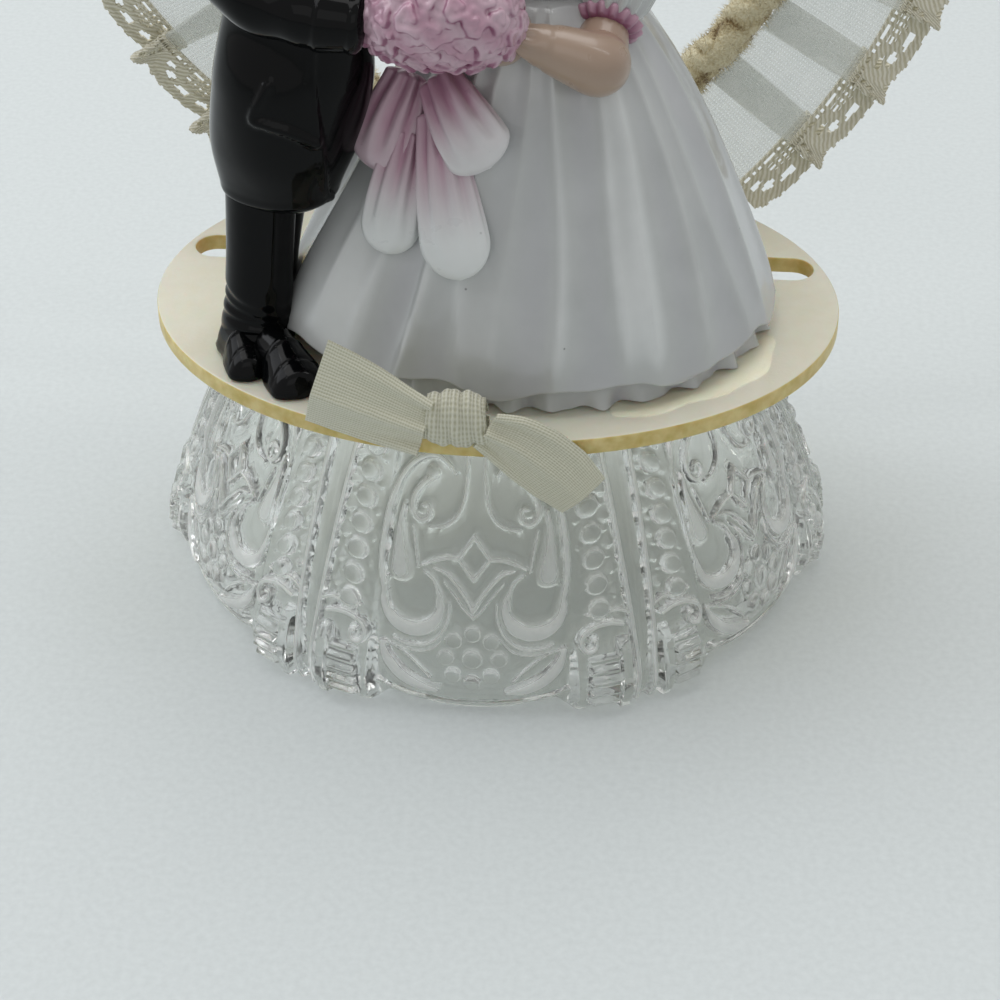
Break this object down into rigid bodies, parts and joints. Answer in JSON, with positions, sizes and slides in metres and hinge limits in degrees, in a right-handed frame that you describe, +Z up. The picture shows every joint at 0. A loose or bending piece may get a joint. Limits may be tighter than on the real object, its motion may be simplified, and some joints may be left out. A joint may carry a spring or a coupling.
{
  "type": "wedding cake topper",
  "caption": "Porcelain bride and groom on an oval plastic disc over a clear scrollwork base, with a satin bow in front and a ruffled organza heart behind.",
  "frame": {"origin": "centre of the part's box on the surface that the base stands on", "axes": "+X to the couple's left as the viewer's right, +Y to the heart at the back, +Z up"},
  "size_m": [0.1678, 0.1046, 0.1887],
  "materials": {
    "clear_styrene": "clear moulded, polished",
    "yellowed_styrene": "translucent, yellowed with age",
    "clear_glue": "clear set glue",
    "florist_wire": "drawn wire",
    "tan_braid": "fuzzy gathered braid",
    "white_organza": "sheer, with satin stripes",
    "cream_lace": "scalloped lace with picots",
    "olive_satin": "woven satin ribbon",
    "porcelain_white": "gloss glaze",
    "porcelain_black": "gloss glaze",
    "porcelain_skin": "satin glaze",
    "porcelain_pink": "gloss glaze over painted colour",
    "porcelain_blush": "pink faded to white under gloss glaze",
    "porcelain_hair": "gloss glaze over painted colour"
  },
  "bodies": {
    "root": {"bouquet_roses": "porcelain_pink", "bow_knot": "olive_satin", "bow_left_tail": "olive_satin", "bow_right_tail": "olive_satin", "bride_arm_left": "porcelain_skin", "bride_arm_right": "porcelain_skin", "bride_bodice": "porcelain_white", "bride_hair": "porcelain_hair", "bride_head": "porcelain_skin", "bride_neck": "porcelain_skin", "bride_sleeve_left": "porcelain_white", "bride_sleeve_right": "porcelain_white", "bride_veil": "porcelain_white", "crystal_base": "clear_styrene", "display_disc": "yellowed_styrene", "flower_band": "porcelain_pink", "glue_puddle": "clear_glue", "gown_skirt": "porcelain_white", "groom_boutonniere": "porcelain_pink", "groom_bow_tie": "porcelain_pink", "groom_collar": "porcelain_white", "groom_hair": "porcelain_hair", "groom_hand_left": "porcelain_skin", "groom_hand_right": "porcelain_skin", "groom_head": "porcelain_skin", "groom_shirt_front": "porcelain_white", "groom_shoe_left": "porcelain_black", "groom_shoe_right": "porcelain_black", "groom_sleeve_left": "porcelain_black", "groom_sleeve_right": "porcelain_black", "groom_tailcoat": "porcelain_black", "groom_trousers": "porcelain_black", "heart_braid": "tan_braid", "heart_glue": "clear_glue", "heart_wire": "florist_wire", "lace_edging": "cream_lace", "organza_ruffle": "white_organza", "petticoat_hem": "porcelain_white", "ribbon_loop_left": "porcelain_blush", "ribbon_loop_right": "porcelain_blush", "ribbon_tail_left": "porcelain_blush", "ribbon_tail_right": "porcelain_blush", "sleeve_band_left": "porcelain_pink", "sleeve_band_right": "porcelain_pink"}
  },
  "joints": []
}
